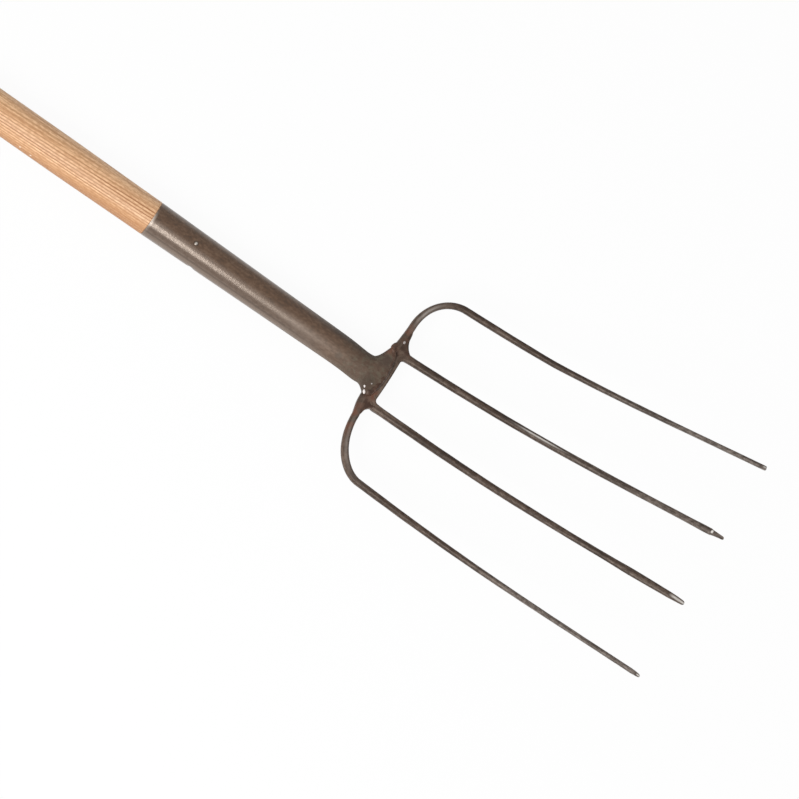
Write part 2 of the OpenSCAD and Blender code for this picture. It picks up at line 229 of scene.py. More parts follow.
class Finish:
    """A material whose nodes are added one by one, each from values or from earlier nodes."""

    def __init__(self, name, **shader):
        self.material = bpy.data.materials.new(name)
        self.material.use_nodes = True
        self.tree = self.material.node_tree
        self.shader = self.tree.nodes["Principled BSDF"]
        self.feed(self.shader, {key.replace("_", " "): value for key, value in shader.items()})

    def feed(self, node, inputs):
        for key, value in inputs.items():
            socket = node.inputs[key]
            if isinstance(value, bpy.types.NodeSocket):
                self.tree.links.new(value, socket)
            else:
                socket.default_value = value

    def add(self, kind, inputs=None, **settings):
        node = self.tree.nodes.new("ShaderNode" + kind)
        for key, value in settings.items():
            setattr(node, key, value)
        self.feed(node, inputs or {})
        return node

    def object_place(self):
        return self.add("TexCoord").outputs["Object"]

    def attribute(self, name, output="Vector"):
        return self.add("Attribute", attribute_name=name).outputs[output]

    def stretched(self, spot, scale=(1, 1, 1), location=(0, 0, 0), rotation=(0, 0, 0)):
        return self.add("Mapping", {"Vector": spot, "Scale": scale, "Location": location,
                                    "Rotation": rotation}).outputs["Vector"]

    def coordinate(self, spot, axis):
        return self.add("SeparateXYZ", {0: spot}).outputs[axis]

    def distance(self, spot, centre):
        return self.add("VectorMath", {0: spot, 1: centre}, operation="DISTANCE").outputs["Value"]

    def noise(self, spot, scale=1.0, detail=3.0, roughness=0.55):
        return self.add("TexNoise", {"Vector": spot, "Scale": scale, "Detail": detail,
                                     "Roughness": roughness}).outputs["Fac"]

    def grain(self, spot, along, across, detail=3.0):
        """Noise with one scale along the piece and another across it."""
        return self.noise(self.stretched(spot, (along, across, across)), detail=detail)

    def maths(self, operation, a, b=0.0):
        return self.add("Math", {0: a, 1: b}, operation=operation).outputs[0]

    def times(self, *factors):
        total = factors[0]
        for factor in factors[1:]:
            total = self.maths("MULTIPLY", total, factor)
        return total

    def between(self, value, low, high, to_low=0.0, to_high=1.0):
        """Maps a value smoothly from one range to another."""
        inputs = {"Value": value, "From Min": low, "From Max": high, "To Min": to_low, "To Max": to_high}
        return self.add("MapRange", inputs, interpolation_type="SMOOTHSTEP").outputs["Result"]

    def along(self, spot, fade):
        """A fade along the fork, measured from the crossbar's front."""
        start, end = place(fade.start, 0, 0).x, place(fade.end, 0, 0).x
        return self.between(self.coordinate(spot, "X"), start, end, fade.at_start, fade.at_end)

    def across(self, spot, fade):
        """A fade across a piece, measured from its middle to the left."""
        start, end = fade.start * MM, fade.end * MM
        return self.between(self.coordinate(spot, "Y"), start, end, fade.at_start, fade.at_end)

    def near(self, spot, centre, core, reach, share=1.0):
        """A share that holds in the core of a place and fades to nothing at its reach."""
        return self.between(self.distance(spot, centre), core * MM, reach * MM, share, 0.0)

    def ramp(self, value, *stops):
        node = self.add("ValToRGB", {"Fac": value})
        while len(node.color_ramp.elements) < len(stops):
            node.color_ramp.elements.new(0.5)
        for element, (position, colour) in zip(node.color_ramp.elements, stops):
            element.position = position
            element.color = colour
        return node.outputs["Color"]

    def mixed(self, share, a, b):
        node = self.add("Mix", data_type="RGBA")
        self.feed(node, {0: share, MIX_FROM: a, MIX_TO: b})
        return node.outputs[MIX_COLOUR]

    def bump(self, height, depth, strength, under=None):
        """Bumps of a depth in millimetres, on top of other bumps if these are given."""
        inputs = {"Height": height, "Distance": depth * MM, "Strength": strength}
        if under is not None:
            inputs["Normal"] = under
        return self.add("Bump", inputs).outputs["Normal"]


# Growth lines run slightly aslant along the shaft, and are cut on edge on the side that faces up
GRAIN_TURN, GRAIN_SLANT, GRAIN_SHIFT = math.radians(-15), math.radians(-2.1), 5.3
HEART_Y, HEART_Z, RING_SCALE, RING_WANDER = 60, -10, 124, 1.4
EDGE_CORE, EDGE_REACH = 4, 11
# Painted light on the shaft's left, the side turned from the lamps, and painted shade along its right edge,
# which faces them
PAINTED_LIGHT_SIDE, PAINTED_SHADE_SIDE = Fade(4, 16, 0.0, 0.8), Fade(-16, -6, 0.85, 0.0)
BAND_DARK, BAND_MIDDLE, BAND_LIGHT = tone(190, 140, 97), tone(214, 166, 122), tone(232, 186, 144)
PAINTED_LIGHT_ASH, PAINTED_SHADE_ASH, EDGE_ASH = tone(250, 208, 164), tone(187, 139, 100), tone(243, 200, 158)
STREAK_BROWN, LINE_BROWN, PORE_BROWN = tone(176, 124, 80), tone(150, 94, 52), tone(168, 114, 70)

# Two chips in the shaft show fresh wood
CHIPS = ((-394.3, -17.2, 5.3), (-382.3, -17.6, 3.6))
CHIP_CORE, CHIP_REACH, CHIP_SHARE, FRESH_ASH = 0.4, 1.4, 0.8, tone(246, 230, 212)


def ash_wood():
    """Ash with growth rings: fine dark lines where they are cut on edge, and broad bands beside."""
    f = Finish("oiled_ash", Roughness=0.5, IOR=1.45)
    spot = f.object_place()
    slanted = f.stretched(spot, location=(0, GRAIN_SHIFT * MM, 0), rotation=(GRAIN_TURN, 0, GRAIN_SLANT))
    aside = f.maths("ABSOLUTE", f.coordinate(slanted, "Y"))
    on_edge = f.between(aside, EDGE_CORE * MM, EDGE_REACH * MM, 1.0, 0.0)
    rings = f.add("TexWave", {
        "Vector": f.stretched(slanted, location=(0, HEART_Y * MM, HEART_Z * MM)),
        "Scale": RING_SCALE, "Distortion": 0.35,
        "Detail": 2.0, "Detail Scale": 0.5, "Detail Roughness": 0.5,
        "Phase Offset": f.times(f.grain(spot, 1.3, 30, detail=2), RING_WANDER),
    }, wave_type="RINGS", rings_direction="X", wave_profile="SIN").outputs["Fac"]
    fading = f.between(f.grain(spot, 4, 180), 0.34, 0.58, 0.5, 1.0)
    lines = f.times(f.between(rings, 0.4, 0.95), fading, f.between(on_edge, 0, 1, 0.3, 1.0))
    streaks = f.between(f.grain(slanted, 9, 620), 0.46, 0.6)
    pores = f.between(f.grain(spot, 260, 820, detail=2), 0.4, 0.62)
    bands = f.grain(slanted, 2.2, 150, detail=4)
    wood = f.ramp(bands, (0.36, BAND_DARK), (0.5, BAND_MIDDLE), (0.64, BAND_LIGHT))
    # Painted light on the left of the shaft, and painted shade on its right
    wood = f.mixed(f.across(slanted, PAINTED_LIGHT_SIDE), wood, PAINTED_LIGHT_ASH)
    wood = f.mixed(f.across(slanted, PAINTED_SHADE_SIDE), wood, PAINTED_SHADE_ASH)
    wood = f.mixed(f.times(on_edge, 0.75), wood, EDGE_ASH)
    wood = f.mixed(f.times(streaks, f.between(on_edge, 0, 1, 0.5, 0.25)), wood, STREAK_BROWN)
    wood = f.mixed(f.times(lines, 0.95), wood, LINE_BROWN)
    wood = f.mixed(f.times(pores, 0.42), wood, PORE_BROWN)
    for chip in CHIPS:
        wood = f.mixed(f.near(spot, place(*chip), CHIP_CORE, CHIP_REACH, CHIP_SHARE), wood, FRESH_ASH)
    f.feed(f.shader, {"Base Color": wood, "Normal": f.bump(f.maths("ADD", lines, pores), 0.1, 0.3)})
    return f.material


# Rolled steel has streaks, mottle and a share of blotches. Most of their noise lies between two values
BLOTCH_SHARE, NOISE_LOW, NOISE_HIGH = 0.18, 0.38, 0.62

# Dark patches, partly soot near the welds and partly painted shade where the left bars meet and on the lap
# and the neck, and blooms of rust-brown heat: each has a place and a reach, and a part of the reach is its
# core
SOOT_AND_SHADE = ((-7, 39, 9, 14), (-16, -15, 14, 13), (-51, -8.3, 12, 5))
SOOT_AND_SHADE_CORE, SOOT_AND_SHADE_SHARE, SOOT_AND_SHADE_BLACK = 0.3, 0.6, tone(50, 38, 28)
RUST_BLOOMS = ((-14, 25, 12, 11), (-11, 44, 7, 16), (-11, -48, 7, 24), (-5, -18, 10, 12))
BLOOM_CORE, RUST_BROWN = 0.2, tone(104, 62, 44)


def three_tones(f, value, dark, middle, light):
    return f.ramp(value, (NOISE_LOW, dark), (0.5, middle), (NOISE_HIGH, light))


def rolled_tones(f, bar, streaks, tones):
    """Dark rolled steel under thin brown lacquer: a share of streaks along it, mottled and blotched."""
    streak = f.grain(bar, 12, 420, detail=4)
    mottle = f.grain(bar, 240, 400, detail=5)
    blotch = f.grain(bar, 22, 45)
    value = f.maths("ADD", f.times(streak, streaks), f.maths(
        "ADD", f.times(mottle, 1 - BLOTCH_SHARE - streaks), f.times(blotch, BLOTCH_SHARE)))
    return value, three_tones(f, value, *tones)


def heat_tint(f, steel, strength):
    """Soot and painted shade, and patchy rust-brown blooms where the welds heated the steel."""
    spot = f.object_place()
    patches = f.between(f.noise(spot, scale=150, detail=5), 0.4, 0.6)
    # Soot near the welds, and painted shade where the left bars meet and on the lap and the neck
    for x, y, z, reach in SOOT_AND_SHADE:
        sooty_and_shaded = f.near(spot, place(x, y, z), SOOT_AND_SHADE_CORE * reach, reach, SOOT_AND_SHADE_SHARE)
        steel = f.mixed(sooty_and_shaded, steel, SOOT_AND_SHADE_BLACK)
    for x, y, z, reach in RUST_BLOOMS:
        bloom = f.near(spot, place(x, y, z), BLOOM_CORE * reach, reach, strength)
        steel = f.mixed(f.times(bloom, patches), steel, RUST_BROWN)
    return steel


# The crossbar and the start of the shoulders keep lighter tones, painted sheen; the tines turn darker from
# just in front of the crossbar
TINE_STREAKS, SHEEN_ENDS_ON_TINES = 0.4, Fade(2, 26)
SHEEN_CROSSBAR_TONES = tone(54, 41, 32), tone(80, 63, 52), tone(108, 92, 80)
TINE_TONES = tone(36, 24, 16), tone(60, 44, 34), tone(96, 80, 69)
# Light greys for uncoated ground steel, also used for painted glints, highlight lines and sheen
GROUND_AND_GLINT_GREY, GROUND_AND_GLINT_BRIGHT = tone(212, 206, 198), tone(244, 240, 234)


def tine_finish():
    f = Finish("lacquered_tine_steel", Specular_IOR_Level=0.5, Specular_Tint=(1.0, 0.9, 0.82, 1.0))
    bar = f.attribute("straight")
    value, steel = rolled_tones(f, bar, TINE_STREAKS, SHEEN_CROSSBAR_TONES)
    dark = three_tones(f, value, *TINE_TONES)
    # Painted sheen on the crossbar gives way to the tines' darker tones
    steel = f.mixed(f.along(f.object_place(), SHEEN_ENDS_ON_TINES), steel, dark)
    steel = heat_tint(f, steel, 0.75)
    grit = f.grain(bar, 160, 900)
    bright = f.ramp(grit, (0.35, GROUND_AND_GLINT_GREY), (0.65, GROUND_AND_GLINT_BRIGHT))
    worn = f.times(f.attribute("worn", "Fac"), f.between(value, 0.4, 0.58, 0.2, 1.0))
    # Uncoated ground facets, painted glints and highlight lines, and painted sheen with wear towards the
    # points
    steel = f.mixed(f.maths("MAXIMUM", f.attribute("bare", "Fac"), worn), steel, bright)
    hollows = f.grain(bar, 30, 160)
    f.feed(f.shader, {
        "Base Color": steel, "Roughness": f.between(value, NOISE_LOW, NOISE_HIGH, 0.55, 0.42),
        "Normal": f.bump(grit, 0.1, 0.25, f.bump(hollows, 0.7, 0.5)),
    })
    return f.material


# The socket's pattern and tones, and fades along and across it
SOCKET_STREAKS, PATTERN_SHIFT = 0.1, 310
SOCKET_TONES = tone(66, 47, 34), tone(82, 58, 41), tone(98, 75, 58)
# A darker stretch on the left of the neck
DARK_NECK_ALONG, DARK_NECK_ACROSS, DARK_NECK_BROWN = Fade(-110, -40), Fade(3, 11), tone(34, 20, 14)
# A greyer band of painted sheen beside the highlight, right of the top, fading towards the neck
SHEEN_ALONG, SHEEN_ACROSS = Fade(-95, -50, 1.0, 0.2), Fade(-11.5, 2, 0.65, 0.0)
SHEEN_GREY = tone(102, 90, 82)
# A lighter band of painted floor reflection along the far right of the socket, beside the seam
FLOOR_REFLECTION_SIDE, FLOOR_REFLECTION_GREY = Fade(-15.5, -12.5, 0.5, 0.0), tone(116, 99, 86)
HOT_NECK, HOT_BROWN, SCALE_GREY = Fade(NECK_X - 30, NECK_X + 6), tone(66, 50, 40), tone(86, 80, 66)
DULL_ALONG, HOT_DULL = Fade(-150, -45, 0.23, 0.55), 0.2

# The line that the rolling left along the cone: its angle to the right of the top, and half its width
ROLL_LINE_TURN, ROLL_LINE_CORE, ROLL_LINE_REACH = math.radians(60), 0.02, 0.11
ROLL_LINE_ALONG, ROLL_LINE_BROWN = Fade(-120, -50, 0.55, 0.0), tone(52, 37, 28)

# Painted shade round the nick, and a painted glint on the rim
NICK_CORE, NICK_REACH, NICK_SHARE, NICK_SHADE_BROWN = 1, 3.5, 0.85, tone(36, 27, 21)
RIM_GLINT_WHITE = tone(226, 216, 204)


def socket_finish():
    """Glossy at the mouth, and duller and darker towards the neck, which was hot when it was welded."""
    f = Finish("lacquered_socket_steel", Specular_IOR_Level=1.0, Specular_Tint=(1.0, 0.86, 0.74, 1.0))
    spot = f.object_place()
    shifted = f.stretched(spot, location=(PATTERN_SHIFT * MM, PATTERN_SHIFT * MM, 0))
    value, steel = rolled_tones(f, shifted, SOCKET_STREAKS, SOCKET_TONES)
    # Darker on the left of the neck
    darkened_neck = f.times(f.along(spot, DARK_NECK_ALONG), f.across(spot, DARK_NECK_ACROSS))
    steel = f.mixed(f.times(darkened_neck, 0.9), steel, DARK_NECK_BROWN)
    patchy = f.between(value, 0.4, 0.6, 0.6, 1.0)
    # Painted sheen that widens the highlight
    painted_sheen = f.times(f.across(spot, SHEEN_ACROSS), patchy, f.along(spot, SHEEN_ALONG))
    steel = f.mixed(painted_sheen, steel, SHEEN_GREY)
    # Painted reflection of the floor on the socket's far right
    steel = f.mixed(f.across(spot, FLOOR_REFLECTION_SIDE), steel, FLOOR_REFLECTION_GREY)
    height = f.maths("SUBTRACT", f.coordinate(spot, "Z"), AXIS_Z)
    turn = f.maths("ARCTAN2", f.coordinate(spot, "Y"), height)
    from_line = f.maths("ABSOLUTE", f.maths("ADD", turn, ROLL_LINE_TURN))
    on_line = f.between(from_line, ROLL_LINE_CORE, ROLL_LINE_REACH, 1.0, 0.0)
    steel = f.mixed(f.times(on_line, f.along(spot, ROLL_LINE_ALONG)), steel, ROLL_LINE_BROWN)
    hot = f.along(spot, HOT_NECK)
    scale = f.between(f.noise(spot, scale=260, detail=4), 0.45, 0.6)
    steel = f.mixed(f.times(hot, 0.6), steel, HOT_BROWN)
    steel = f.mixed(f.times(hot, scale, 0.55), steel, SCALE_GREY)
    steel = heat_tint(f, steel, 0.8)
    # Painted shade round the nick
    nick = place(NICK_X, -socket_r(NICK_X), 0)
    steel = f.mixed(f.near(spot, nick, NICK_CORE, NICK_REACH, NICK_SHARE), steel, NICK_SHADE_BROWN)
    # A painted glint on the rim, most of all to the right of the top
    steel = f.mixed(f.attribute("bare", "Fac"), steel, RIM_GLINT_WHITE)
    dull = f.maths("ADD", f.along(spot, DULL_ALONG), f.times(hot, HOT_DULL))
    hollows = f.grain(spot, 16, 70)
    grit = f.noise(spot, scale=600, detail=2)
    uneven = f.between(value, NOISE_LOW, NOISE_HIGH, 0.06, -0.02)
    f.feed(f.shader, {
        "Base Color": steel, "Roughness": f.maths("ADD", dull, uneven),
        "Normal": f.bump(grit, 0.06, 1.0, f.bump(hollows, 0.6, 0.2)),
    })
    return f.material


WELD_DARK, WELD_MIDDLE, WELD_LIGHT = tone(64, 42, 30), tone(78, 57, 44), tone(98, 80, 67)
SPATTER_GLINT = tone(238, 230, 226)


def weld_finish():
    f = Finish("lacquered_weld", Specular_IOR_Level=0.4)
    spot = f.object_place()
    lumps = f.noise(spot, scale=320, detail=3)
    mottle = f.noise(spot, scale=150, detail=4)
    steel = f.ramp(mottle, (NOISE_LOW, WELD_DARK), (0.5, WELD_MIDDLE), (0.64, WELD_LIGHT))
    steel = heat_tint(f, steel, 0.4)
    # A painted glint on the bright drops of spatter
    steel = f.mixed(f.attribute("bare", "Fac"), steel, SPATTER_GLINT)
    f.feed(f.shader, {"Base Color": steel, "Roughness": f.between(lumps, 0.3, 0.7, 0.35, 0.55),
                      "Normal": f.bump(lumps, 0.5, 0.5)})
    return f.material


# The painted glint in the middle of the nail head: its core and its reach. The rim's tone is painted shade
NAIL_GLINT_CORE, NAIL_GLINT_REACH = 0.7, 1.7
NAIL_SHADED_RIM, NAIL_GLINT_GREY, NAIL_GLINT_BRIGHT = tone(104, 89, 78), tone(196, 186, 174), tone(240, 234, 226)


def nail_finish():
    """A painted glint in the middle of the head, and painted shade at its rim."""
    f = Finish("nail_head_glint", Metallic=0.8)
    spot = f.object_place()
    flat = f.add("VectorMath", {0: spot, 1: (1, 1, 0)}, operation="MULTIPLY").outputs["Vector"]
    centre = place(NAIL_X, 0, 0)
    worn = f.near(flat, (centre.x, centre.y, 0), NAIL_GLINT_CORE, NAIL_GLINT_REACH)
    wear = f.noise(spot, scale=600, detail=3)
    bright = f.ramp(wear, (0.35, NAIL_GLINT_GREY), (0.65, NAIL_GLINT_BRIGHT))
    f.feed(f.shader, {"Base Color": f.mixed(worn, NAIL_SHADED_RIM, bright),
                      "Roughness": f.between(wear, 0.3, 0.7, 0.25, 0.4), "Normal": f.bump(wear, 0.1, 0.3)})
    return f.material


# The handle, whose shoulder is eased at the socket's mouth

SHOULDER_EASE, HANDLE_SIDES = 0.6, 96


def ash_handle(finish):
    shaft_r, mouth_r = HANDLE_R, MOUTH_D / 2
    tenon_in = WALL + TENON_GAP
    profile = [(BUTT_X, 0)]
    for t in steps(0, math.pi / 2, 10):
        x = BUTT_X + BUTT_ROUND * (1 - math.cos(t))
        profile.append((x, mix(BUTT_FLAT_D / 2, shaft_r, math.sin(t))))
    for x in steps(BUTT_X + BUTT_ROUND, MOUTH_X - HANDLE_TAPER, 40)[1:]:
        profile.append((x, shaft_r))
    for t in steps(0, 1, 14)[1:]:
        profile.append((MOUTH_X - HANDLE_TAPER * (1 - t), mix(shaft_r, mouth_r, blend(t))))
    profile[-1] = (MOUTH_X - SHOULDER_EASE, mouth_r)
    profile += [(MOUTH_X, mouth_r - SHOULDER_EASE), (MOUTH_X, socket_r(MOUTH_X) - tenon_in),
                (TENON_END_X, socket_r(TENON_END_X) - tenon_in), (TENON_END_X, 0)]
    bm = bmesh.new()
    turned(bm, profile, place(0, 0, 0), X_AXIS, Z_AXIS, HANDLE_SIDES)
    finish_piece(bm, "ash_handle", finish, "ash_wood", "handle")


# The socket and its nail

SOCKET_SIDES, NAIL_SIDES = 128, 40

# The seam's depth, and the shares of half a ring whose points lie at the seam and in its slit
SEAM_DEPTH, SEAM_SHARE, SLIT_SHARE = 1.6, 0.03, 0.02

# The cone's plain stretch stays this far from the mouth and the neck
PLAIN_FROM_END = 3

# The rim is rounded at this share of its chamfer, and carries a painted glint, most of all to the right of
# the top
RIM_ROUND, RIM_GLINT, EDGE_GLINT = 0.3, 0.8, 0.5
GLINT_SIDE, GLINT_SPREAD = -0.3, 0.4

# The flattened end: its flare's length, how suddenly it goes flat and flares, how square it gets, and how
# far its tip closes
FLARE_LEN, FLAT_POWER, FLARE_POWER = 8.5, 4, 2
ROUND, PRESSED, TIP_TURN = 2.0, 4.5, math.radians(88)

# The neck was knocked to the right: how far, where, and how far this reaches back and forward
NECK_SWING, SWING_X, SWING_BACK, SWING_FRONT = 1.4, -23.5, 17, 6


def from_seam(turn):
    """The angle round the ring from the seam, between minus and plus half a turn."""
    return (turn + math.pi) % (2 * math.pi) - math.pi


def neck_swing(x):
    """How far the socket lies off its axis where the neck was knocked to the right."""
    return -NECK_SWING * bell((x - SWING_X) / (SWING_BACK if x < SWING_X else SWING_FRONT))


def cone_station(x, r, seam_depth, bright=0.0):
    """A round station of the socket. Its points crowd at the seam, a slit of the given depth. Its right
    side can carry a painted glint."""
    slit = SEAM_GAP / MOUTH_D

    def station(turn):
        off = from_seam(turn)
        share = abs(off) / math.pi
        if share > SEAM_SHARE:
            angle = mix(slit, math.pi, (share - SEAM_SHARE) / (1 - SEAM_SHARE))
        else:
            angle = slit * share / SEAM_SHARE
        depth = seam_depth if share < SLIT_SHARE else 0.0
        depth += NICK_DEPTH * bell((x - NICK_X) / NICK_LEN) * bell(angle / NICK_HALF_TURN)
        top = math.copysign(angle, off) - SEAM_TURN
        p = place(x, neck_swing(x) + math.sin(top) * (r - depth), math.cos(top) * (r - depth))
        return p, p, bright * bell((math.sin(top) - GLINT_SIDE) / GLINT_SPREAD), 0.0
    return station


def pressed_station(x, middle_y, w, h, z, squareness):
    """A station of the flattened end, with its ring turned like the cone's."""
    def station(turn):
        c, s = squarish(from_seam(turn) - SEAM_TURN, squareness)
        p = place(x, neck_swing(x) + middle_y + s * w / 2, z + c * h / 2)
        return p, p, 0.0, 0.0
    return station


def rolled_socket(finish):
    """The socket, from the end of its bore out to the mouth, over the rim and back to its flat tip."""
    mouth_r, rim_in = socket_r(MOUTH_X), RIM * RIM_ROUND
    stations = [cone_station(x, socket_r(x) - WALL, 0) for x in steps(NECK_X - WALL, MOUTH_X, 6)]
    stations += [cone_station(MOUTH_X, mouth_r - RIM, 0.0, RIM_GLINT),
                 cone_station(MOUTH_X + rim_in, mouth_r - rim_in, 0.0, RIM_GLINT),
                 cone_station(MOUTH_X + RIM, mouth_r, SEAM_DEPTH, EDGE_GLINT)]
    for x in steps(MOUTH_X + PLAIN_FROM_END, NECK_X - PLAIN_FROM_END, 110):
        stations.append(cone_station(x, socket_r(x), SEAM_DEPTH))
    stations.append(cone_station(NECK_X, NECK_D / 2, 0.0))
    for t in steps(0, math.pi / 2, 26)[1:]:
        x = FLATTEN_LEN * math.sin(t)
        flat = (x / FLATTEN_LEN) ** FLAT_POWER
        flare = FLARE_W * clamp(1 - (FLATTEN_LEN - x) / FLARE_LEN) ** FLARE_POWER
        stations.append(pressed_station(
            NECK_X + x, LAP_SHIFT * flat, NECK_D + 2 * flare,
            mix(NECK_D, LAP_H, flat), LAP_MIDDLE_Z * flat, mix(ROUND, PRESSED, flat)))
    for t in steps(0, TIP_TURN, 24)[1:]:
        x, w = LAP_X + LAP_LEN * math.sin(t), 2 * LAP_HALF_W * math.cos(t)
        stations.append(pressed_station(x, LAP_SHIFT, w, LAP_H, LAP_MIDDLE_Z, PRESSED))
    bm = bmesh.new()
    swept(bm, stations, SOCKET_SIDES)
    finish_piece(bm, "rolled_socket", finish, "socket_steel", "socket")


def socket_nail(finish):
    head_r = NAIL_HEAD_D / 2
    seat_z = math.sqrt(socket_r(NAIL_X) ** 2 - head_r ** 2)
    profile = [(-NAIL_LEN, 0), (NAIL_POINT - NAIL_LEN, NAIL_D / 2), (0, NAIL_D / 2), (0, head_r)]
    for t in steps(0, math.pi / 2, 10)[1:]:
        profile.append((NAIL_HEAD_H * math.sin(t), head_r * math.cos(t)))
    profile[-1] = (NAIL_HEAD_H, 0)
    bm = bmesh.new()
    turned(bm, profile, place(NAIL_X, 0, seat_z), Z_AXIS, X_AXIS, NAIL_SIDES)
    finish_piece(bm, "socket_nail_head", finish, "nail_steel", "socket_nail")


# The two bent bars of the head

BAR_SIDES, OUTER_SEED, INNER_SEED = 32, 3.0, 8.0

# The ground end of a tine: its length, its width, height and rounding at the very end, the width before it,
# how far back a hammered swelling lies and what it adds, how uncoated the ground facet is and how far back,
# the length of the painted glint at the facet's start, how much painted sheen and wear the tine has before
# it, and how late it narrows
TineEnd = namedtuple("TineEnd", (
    "length", "width", "height", "rounding", "before", "swell_at", "swell_by",
    "bare", "bare_len", "lip", "worn", "hold"))
BLUNT_END = TineEnd(
    length=4, width=4, height=4.6, rounding=0.8, before=4.4, swell_at=0, swell_by=0,
    bare=0.5, bare_len=4, lip=0, worn=0.12, hold=1)
CHISEL_END = TineEnd(
    length=9, width=3, height=2.2, rounding=2, before=4.4, swell_at=0, swell_by=0,
    bare=0.8, bare_len=4, lip=0, worn=0.14, hold=1)
SHORT_POINT = TineEnd(
    length=13, width=3, height=2.2, rounding=1.6, before=6, swell_at=19, swell_by=0.6,
    bare=0.1, bare_len=13, lip=2.4, worn=0.08, hold=0.5)
LONG_POINT = TineEnd(
    length=17, width=4.2, height=2.2, rounding=2.4, before=6, swell_at=52, swell_by=1.2,
    bare=0.7, bare_len=17, lip=0, worn=0.02, hold=1.2)

# Where the painted sheen and wear of the tines build up, how far the first station is along its rounding,
# the least length of a swelling, and how much of a facet's width shows uncoated steel, with a soft edge
SHEEN_AND_WEAR_FROM_X, SHEEN_AND_WEAR_TO_X = 100, 260
FIRST_ROUNDING, LEAST_SWELL_LEN, BARE_SHARE, BARE_EDGE = 0.125, 6, 0.5, 1.3

# A stretch that was forged wider or narrower: its distance from the bar's end, its length, and by how much
Swelling = namedtuple("Swelling", "from_end length wider")
LEFT_SHOULDER, RIGHT_SHOULDER = Swelling(338, 22, -0.8), Swelling(338, 22, 0.5)
CROSSBAR = Swelling(367, 26, 1.4)

# A painted highlight line along the top of a bar: its distance from the end, its length, where it lies
# across the bar and how wide it is, both as shares of half the bar's width, and how bright it is
HighlightLine = namedtuple("HighlightLine", "from_end length across width bare")
INNER_HIGHLIGHT = HighlightLine(191, 19, -0.09, 0.2, 1.0)
LEFT_HIGHLIGHT, RIGHT_HIGHLIGHT = HighlightLine(352, 16, 0.1, 0.4, 0.3), HighlightLine(346, 30, 0.1, 0.4, 0.13)
NO_HIGHLIGHT = HighlightLine(0, 1, 0, 1, 0)

# One side of the outer bar: its tine's spread, its shoulder's width, its point, its end, how far its tine
# is kinked inwards, the bulge of its shoulder as a share of the bend, and how it eases into its swing
OuterSide = namedtuple("OuterSide", "spread shoulder_w point_y end kink_in bulge ease")
LEFT_SIDE = OuterSide(LEFT_SPREAD, LEFT_SHOULDER_W, LEFT_POINT_Y, BLUNT_END, LEFT_KINK_IN, 0.022, 0.5)
RIGHT_SIDE = OuterSide(RIGHT_SPREAD, RIGHT_SHOULDER_W, RIGHT_POINT_Y, CHISEL_END, 0, -0.027, 2.2)

# How square the crossbar and the tines are, and the length over which the one turns into the other
SQUARE_BAR, ROUND_TINE, ROOT_LEN = 4.5, 2.3, 10

# Hammer dents: their depth as a share of the bar, their length, how close they lie round it, and how much
# more they take off than they leave
DENT_DEPTH, DENT_LEN, DENT_ROUND, DENT_BIAS = 0.035, 16, 1.4, 0.6


def kink(x, root_x):
    """Share of the left outer tine's inward bend: all of it at the kink, none at both ends."""
    return min((x - root_x) / (LEFT_KINK_X - root_x), (TINE_REACH - x) / (TINE_REACH - LEFT_KINK_X))


def tine(root, point, end, kink_in):
    """Plan of a tine from its point back to its root, with close stations at its ground end."""
    length = math.dist(root, point)
    shares = [end.length / length * (1 - math.cos(t)) for t in steps(0, math.pi / 2, 24)]
    shares += steps(end.length / length, 1, 84)[1:]
    plan = [(mix(point[0], root[0], t), mix(point[1], root[1], t)) for t in shares]
    return [(x, y - kink_in * kink(x, root[0])) for x, y in plan]


def inner_half(end):
    """Half of the inner bar's plan, drawn on the left, from its point to the middle of the crossbar."""
    plan = tine((CORNER_X, INNER_ROOT_GAP / 2), (TINE_REACH, INNER_TIP_GAP / 2), end, 0)
    plan += [(CORNER_X + INNER_CORNER_R * math.cos(a), CORNER_Y + INNER_CORNER_R * math.sin(a))
             for a in steps(math.pi / 2, math.pi, 14)[1:]]
    return plan + [(-INNER_W / 2, y) for y in steps(CORNER_Y, 0, 8)[1:]]


def shoulder_start(side):
    """Where a shoulder starts to bend, and how far it turns before it follows its tine."""
    slope = math.tan(side.spread)
    turn = math.atan(side.shoulder_w / (SHOULDER_LEN * slope))
    root_x = OUTER_SIDE_X + SHOULDER_LEN * (1 - math.cos(turn))
    return side.point_y - (TINE_REACH - root_x) * slope - side.shoulder_w * math.sin(turn), turn


def swing_x(y, start_y, ease):
    """Where the outer bar lies as it swings forward beside the inner one."""
    return OUTER_BACK_X + OUTER_SWING * blend((y - CORNER_Y) / (start_y - CORNER_Y)) ** ease


def outer_half(side):
    """Half of the outer bar's plan, drawn on the left, from its point to the middle of the crossbar."""
    start_y, turn = shoulder_start(side)
    shoulder = []
    for a in steps(turn, 0, 30):
        reach = 1 + side.bulge * math.sin(math.pi * a / turn)
        x = OUTER_SIDE_X + SHOULDER_LEN * (1 - reach * math.cos(a))
        shoulder.append((x, start_y + side.shoulder_w * reach * math.sin(a)))
    plan = tine(shoulder[0], (TINE_REACH, side.point_y), side.end, side.kink_in) + shoulder[1:]
    plan += [(swing_x(y, start_y, side.ease), y) for y in steps(start_y, CORNER_Y, 14)[1:]]
    return plan + [(OUTER_BACK_X, y) for y in steps(CORNER_Y, 0, 8)[1:]]


def whole_plan(left, right):
    return left + [(x, -y) for x, y in reversed(right[:-1])]


